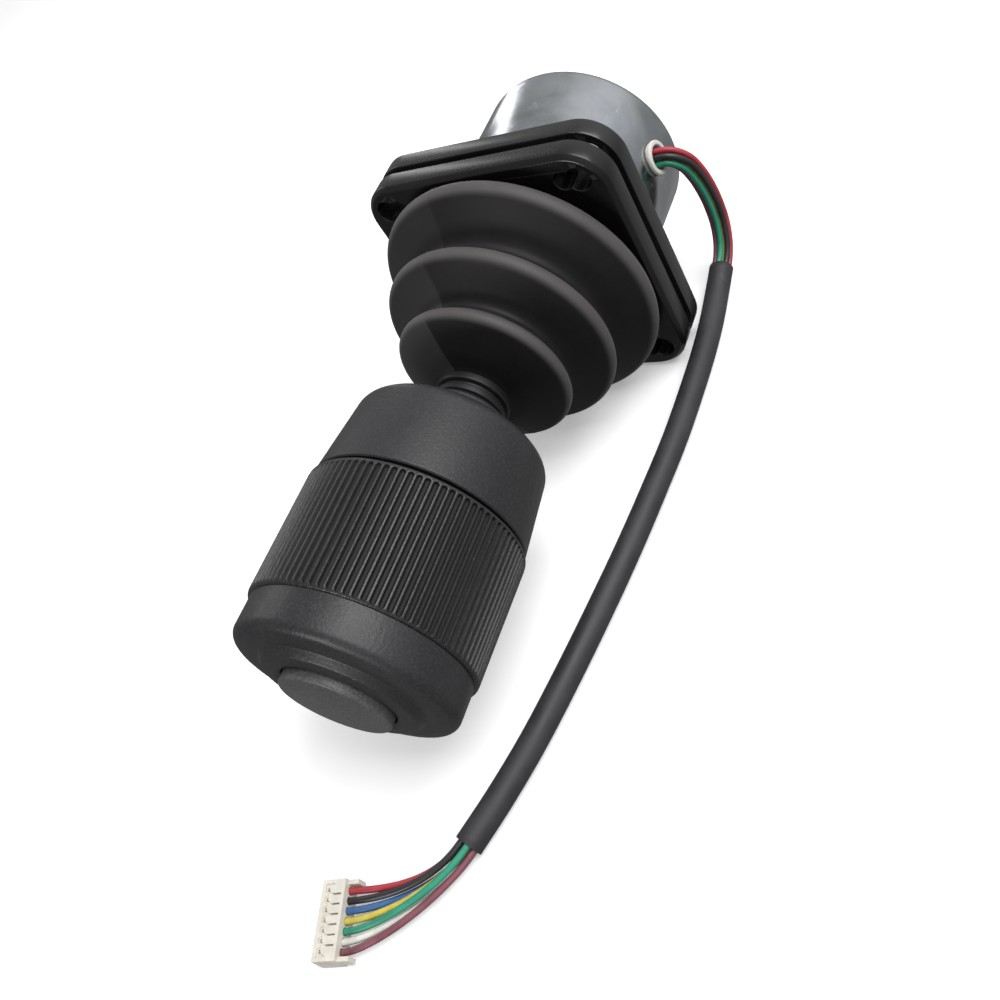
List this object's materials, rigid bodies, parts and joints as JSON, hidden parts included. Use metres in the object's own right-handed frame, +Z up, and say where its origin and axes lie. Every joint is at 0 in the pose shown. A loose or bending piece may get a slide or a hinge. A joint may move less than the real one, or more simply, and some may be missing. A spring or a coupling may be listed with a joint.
{
  "type": "industrial joystick",
  "caption": "Panel-mount industrial joystick with a square flange, steel rear can, rubber bellows, tilting lever, twisting ribbed knob, push button and a plugged cable.",
  "frame": {"origin": "centre of the flange's back face, on the lever's axis, where the flange seats on the panel", "axes": "+Y is the flange's outward normal into the panel, so the lever and knob point along -Y; the flange edges run along X and Z; the part lies on its lower flange edge, with Z up and the bench at Z = -25 mm"},
  "size_m": [0.0558, 0.1537, 0.0512],
  "materials": {
    "black_plate": "satin black",
    "black_bezel": "satin black anodised",
    "gasket_rubber": "matt",
    "boot_rubber": "matt moulded",
    "can_steel": "tinned sheet, drawn",
    "screw_steel": "zinc plated",
    "spring_steel": "bright wire",
    "pin_steel": "ground",
    "frame_steel": "machined",
    "shaft_alloy": "turned",
    "bearing_brass": "turned",
    "contact_brass": "plated",
    "magnet": "nickel plated",
    "board_green": "solder mask",
    "chip_black": "moulded",
    "chip_parts": "ceramic and solder",
    "inner_plastic": "moulded",
    "knob_plastic": "fine grained",
    "button_plastic": "fine grained",
    "grommet_plastic": "moulded",
    "plug_plastic": "natural nylon",
    "sleeve_grey": "matt shrink sleeve",
    "wire_red": "insulation",
    "wire_black": "insulation",
    "wire_blue": "insulation",
    "wire_yellow": "insulation",
    "wire_green": "insulation",
    "wire_white": "insulation",
    "wire_brown": "insulation"
  },
  "bodies": {
    "housing": {"bezel": "black_bezel", "gasket": "gasket_rubber", "mounting_plate": "black_plate", "bezel_screws": "screw_steel", "steel_can": "can_steel", "gimbal_frame": "frame_steel", "frame_screws": "screw_steel", "pivot_bushes": "bearing_brass", "main_board": "board_green", "hall_sensor": "chip_black", "board_parts": "chip_parts", "board_screws": "screw_steel", "wire_grommet": "grommet_plastic", "boot": "boot_rubber", "centring_spring": "spring_steel", "cable_sleeve": "sleeve_grey", "wire_red": "wire_red", "wire_black": "wire_black", "wire_blue": "wire_blue", "wire_yellow": "wire_yellow", "wire_green": "wire_green", "wire_white": "wire_white", "wire_brown": "wire_brown", "plug_housing": "plug_plastic", "plug_contacts": "contact_brass"},
    "gimbal": {"gimbal_ring": "frame_steel", "frame_pins": "pin_steel", "lever_pins": "pin_steel"},
    "lever": {"lever_shaft": "shaft_alloy", "lever_hub": "bearing_brass", "magnet_holder": "inner_plastic", "lever_magnet": "magnet", "lever_harness": "chip_black", "spring_seat": "inner_plastic", "boot_collar": "inner_plastic", "knob_base": "knob_plastic", "grub_screw": "screw_steel", "knob_core": "inner_plastic", "core_screws": "screw_steel", "stop_pin": "pin_steel", "twist_board": "board_green", "twist_sensor": "chip_black", "switch_board": "board_green", "switch_body": "chip_black", "grip_circlip": "spring_steel"},
    "grip": {"grip_ring": "knob_plastic", "end_cap": "knob_plastic", "twist_magnet": "magnet", "twist_spring": "spring_steel"},
    "button": {"push_button": "button_plastic", "switch_plunger": "chip_parts", "button_spring": "spring_steel"}
  },
  "joints": [
    {"name": "tilt_x", "type": "hinge", "parent": "housing", "child": "gimbal", "pos_m": [0, 0.0054, 0], "axis": [-1, 0, 0], "range_deg": [-20, 20], "stiffness_Nm_per_rad": 1.6, "deforming": ["boot", "centring_spring", "lever_harness", "cable_sleeve"]},
    {"name": "tilt_y", "type": "hinge", "parent": "gimbal", "child": "lever", "pos_m": [0, 0.0054, 0], "axis": [0, 0, 1], "range_deg": [-20, 20], "stiffness_Nm_per_rad": 1.6},
    {"name": "twist", "type": "hinge", "parent": "lever", "child": "grip", "pos_m": [0, 0, 0], "axis": [0, -1, 0], "range_deg": [-30, 30], "stiffness_Nm_per_rad": 0.15, "deforming": ["twist_spring"]},
    {"name": "press", "type": "slide", "parent": "grip", "child": "button", "axis": [0, 1, 0], "range_m": [0, 0.0015], "stiffness_N_per_m": 600, "deforming": ["button_spring"]}
  ]
}
